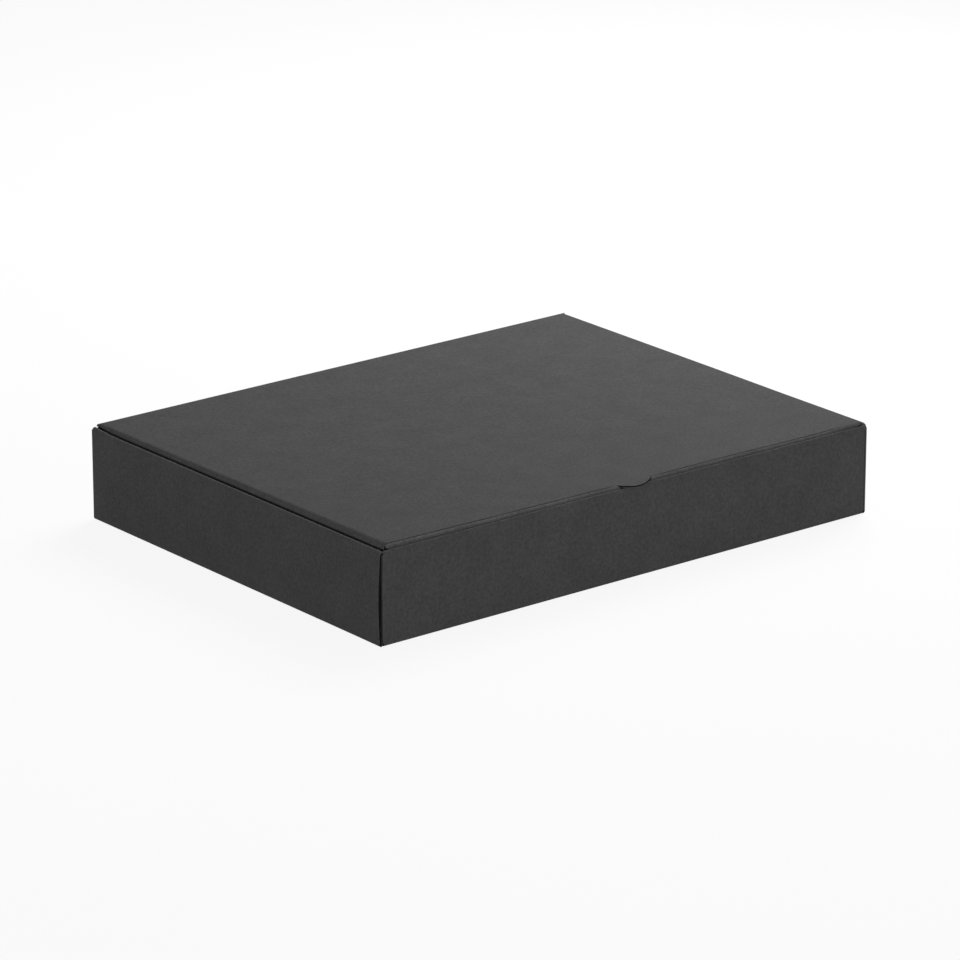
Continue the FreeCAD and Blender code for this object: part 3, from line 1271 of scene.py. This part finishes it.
flap_out, flap_down = leaf_directions(-Y, flap_lean)
flap_start = front_centre + flap_out * lid_radius
flap_half = flap_high.x
flap_low_half = flap_half - flap_side_taper
flap_path = leaf_path(
    -flap_half, -flap_low_half, flap_low_half, flap_half, flap_depth, flap_corner_radius
)


def flap_notch(x):
    """How far the notch that the thumb tab leaves reaches into the flap, past the fold."""
    return max(0.0, tab_outline(x, tab_cut_gap) - flap_fold_length)


notch_points = [tab_offset + fold_gone_half * (i / 10 - 1) for i in range(21)]
flap_points = [p.x for p in flap_path] + notch_points + edge_points
flap_columns = steps(-flap_half, flap_half, 9, flap_points)


def flap_place(u, v, w):
    return flap_start + X * u + flap_down * v - flap_out * w + Z * lid_lift(u, lid_front_y)


flap = board_sheet(
    "tuck_flap_board",
    flap_columns,
    flap_notch,
    height_along(flap_path),
    shares(steps(0.0, flap_depth, 6)),
    flap_place,
    "u",
    lambda a, b: max(a.y, b.y) > CLOSE_MM,
)
seat(flap, "tuck_flap", "tuck_flap")
print("tuck flap: a notch", round(flap_notch(tab_offset), 2), "mm deep")

# %% [markdown]
# The wings
#
# A wing at each side of the lid goes down inside the rolled wall. It is cut off at 45 degrees
# at the front and tapers over 60 millimetres at the back, so that it can swing out past the
# wall. Its fold goes on from the angle that the lid's turned edge has reached.

# %% Make the wings and their folds
wing_first = wing_low.y + wing_depth
wing_last = wing_high.y - wing_back_taper
wing_path = leaf_path(
    wing_low.y, wing_first, wing_last, wing_high.y, wing_depth, wing_corner_radius
)
wing_columns = steps(wing_low.y, wing_high.y, 7, [p.x for p in wing_path])


def make_wing(name, side):
    out = X * side
    edge_x = side * lid_edge_x
    centre = X * edge_x + Z * (lid_top - lid_radius)
    wing_out, wing_down = leaf_directions(out, wing_lean)
    full = fold_length(lid_radius, QUARTER + wing_lean)

    def hang(y):
        return Z * warp(edge_x, y) + X * drawn_in(edge_x)

    def wing_top(y):
        return edge_turn(side, y)[1]

    def fold_place(u, v, w):
        radius, inset = edge_turn(side, u)
        first = edge_angle(edge_x, u)
        angle = first + v / full * (QUARTER + wing_lean - first)
        arm = out * math.sin(angle) + Z * math.cos(angle)
        middle = out * (lid_edge_x - inset) + Z * (lid_top - radius)
        return middle + Y * u + arm * (radius - w) + hang(u)

    bend = fold(
        f"{name}_wing_fold",
        steps(lid_front_y, lid_back_y, 7),
        full,
        fold_place,
        "v",
        wear_most=0.2,
        count=LID_FOLD_ROWS,
    )
    blend_fold(bend, f"{name}_wing_crease")
    start = centre + wing_out * lid_radius
    tip = height_along(wing_path)
    leaf = board_sheet(
        f"{name}_wing_board",
        wing_columns,
        wing_top,
        lambda u: max(tip(u), wing_top(u)),
        shares(steps(0.0, wing_depth, 6)),
        lambda u, v, w: start + Y * u + wing_down * v - wing_out * w + hang(u),
        "v",
        lambda a, b: max(a.y, b.y) > max(wing_top(a.x), wing_top(b.x)) + CLOSE_MM,
    )
    seat(leaf, f"{name}_lid_wing", f"{name}_wing")


for name, side in sides:
    make_wing(name, side)
print("pieces in all:", len(pieces), "with", sum(len(p.data.polygons) for p in pieces), "faces")

# %% [markdown]
# Floor and backdrop
#
# The photo is a cut-out on white, with no horizon and hardly a shadow. A floor lit to white
# would throw as much light up at the walls as comes down on the lid, and the box would look
# flat. So the camera and mirror rays see a white that keeps a faint shadow, and all other
# light meets a grey that returns less.

# %% Make the floor
FLOOR_SIZE_MM = 16000.0
FLOOR_BELOW_MM = 0.05
SHADOW_SHARE = 0.1
BOUNCE = "#909090"


def seen_directly(tree):
    """1 for rays that show the background: from the camera, and in mirrors and glass."""
    path = add_node(tree, "ShaderNodeLightPath")
    kinds = [path.outputs[f"Is {kind} Ray"] for kind in ("Camera", "Glossy", "Transmission")]
    some = add_node(tree, "ShaderNodeMath", {0: kinds[0], 1: kinds[1]}, operation="MAXIMUM")
    seen = {0: some.outputs[0], 1: kinds[2]}
    return add_node(tree, "ShaderNodeMath", seen, operation="MAXIMUM").outputs[0]


def studio_white():
    material, tree = new_material("studio_white")
    glow = add_node(tree, "ShaderNodeEmission", {"Color": (1, 1, 1, 1), "Strength": 1.0})
    paint = add_node(tree, "ShaderNodeBsdfDiffuse", {"Color": (1, 1, 1, 1)})
    white = {0: SHADOW_SHARE, 1: glow.outputs[0], 2: paint.outputs[0]}
    shown = add_node(tree, "ShaderNodeMixShader", white)
    grey = add_node(tree, "ShaderNodeBsdfDiffuse", {"Color": linear(BOUNCE)})
    both = {0: seen_directly(tree), 1: grey.outputs[0], 2: shown.outputs[0]}
    mixed = add_node(tree, "ShaderNodeMixShader", both)
    add_node(tree, "ShaderNodeOutputMaterial", {"Surface": mixed.outputs[0]})
    return material


floor_half = FLOOR_SIZE_MM * MM / 2
floor_corners = [(-1, -1), (1, -1), (1, 1), (-1, 1)]
floor_data = bpy.data.meshes.new("floor")
floor_points = [(x * floor_half, y * floor_half, 0.0) for x, y in floor_corners]
floor_data.from_pydata(floor_points, [], [(0, 1, 2, 3)])
floor_data.materials.append(studio_white())
floor = bpy.data.objects.new("floor", floor_data)
floor.location.z = -FLOOR_BELOW_MM * MM
bpy.context.scene.collection.objects.link(floor)
print("floor:", FLOOR_SIZE_MM * MM, "m wide")

# %% [markdown]
# Light
#
# The lid is lit about twice as strongly as the walls, brightest towards the back right, and
# little light falls into the gap along its left side. So a soft lamp stands at the back right,
# near enough for its light to fade across the lid, and two stand low and far off at the left
# and the front. The sky gives the rest.

# %% Set the lamps and the sky
SKY_STRENGTH = 0.2


def direction(azimuth_deg, elevation_deg):
    """The way from the box to a lamp or the camera. Azimuth 0 is the front."""
    azimuth = math.radians(azimuth_deg)
    elevation = math.radians(elevation_deg)
    flat = math.cos(elevation)
    return Vector((math.sin(azimuth) * flat, -math.cos(azimuth) * flat, math.sin(elevation)))


def softbox(name, azimuth_deg, elevation_deg, distance_m, size_m, watts):
    """A square lamp that looks at the box from this direction."""
    away = direction(azimuth_deg, elevation_deg)
    lamp = bpy.data.lights.new(name, "AREA")
    lamp.shape = "SQUARE"
    lamp.size = size_m
    lamp.energy = watts
    holder = bpy.data.objects.new(name, lamp)
    holder.location = away * distance_m
    holder.rotation_euler = away.to_track_quat("Z", "Y").to_euler()
    bpy.context.scene.collection.objects.link(holder)


softbox("back_right", 115, 43, distance_m=1.0, size_m=0.7, watts=10.8)
softbox("low_left", -80, 5, distance_m=3.0, size_m=0.5, watts=26)
softbox("low_front", 10, 7, distance_m=3.0, size_m=0.6, watts=31)

world = bpy.data.worlds.new("sky")
bpy.context.scene.world = world
world.use_nodes = True
sky = world.node_tree
sky.nodes.clear()
strengths = {"Value": seen_directly(sky), "To Min": SKY_STRENGTH, "To Max": 1.0}
strength = add_node(sky, "ShaderNodeMapRange", strengths).outputs["Result"]
light = add_node(sky, "ShaderNodeBackground", {"Color": (1, 1, 1, 1), "Strength": strength})
add_node(sky, "ShaderNodeOutputWorld", {"Surface": light.outputs[0]})

# %% [markdown]
# The camera
#
# The photo was taken with a long lens, turned about 39 degrees from the box's front and 19
# degrees above it. Those come from the edges of the box in the photo: each line was tied to
# the real edge that makes it, and the angles, distance and lens were solved together.

# %% Place the camera
VIEW_AZIMUTH_DEG = -38.681
VIEW_ELEVATION_DEG = 18.866
VIEW_DISTANCE_MM = 2764.2
LENS_MM = 205.84
AIM_HEIGHT_MM = 24.0
AIM_BELOW_MM = 4.59

away = direction(VIEW_AZIMUTH_DEG, VIEW_ELEVATION_DEG)
turn = away.to_track_quat("Z", "Y")
camera_up = turn @ Y
aim = Z * AIM_HEIGHT_MM - camera_up * AIM_BELOW_MM
lens = bpy.data.cameras.new("camera")
lens.lens = LENS_MM
lens.sensor_width = 36.0
lens.clip_end = 100.0
camera = bpy.data.objects.new("camera", lens)
camera.location = (aim + away * VIEW_DISTANCE_MM) * MM
camera.rotation_euler = turn.to_euler()
bpy.context.scene.collection.objects.link(camera)
bpy.context.scene.camera = camera
bpy.context.scene.view_settings.view_transform = "Standard"
print("camera at", [round(v, 3) for v in camera.location])
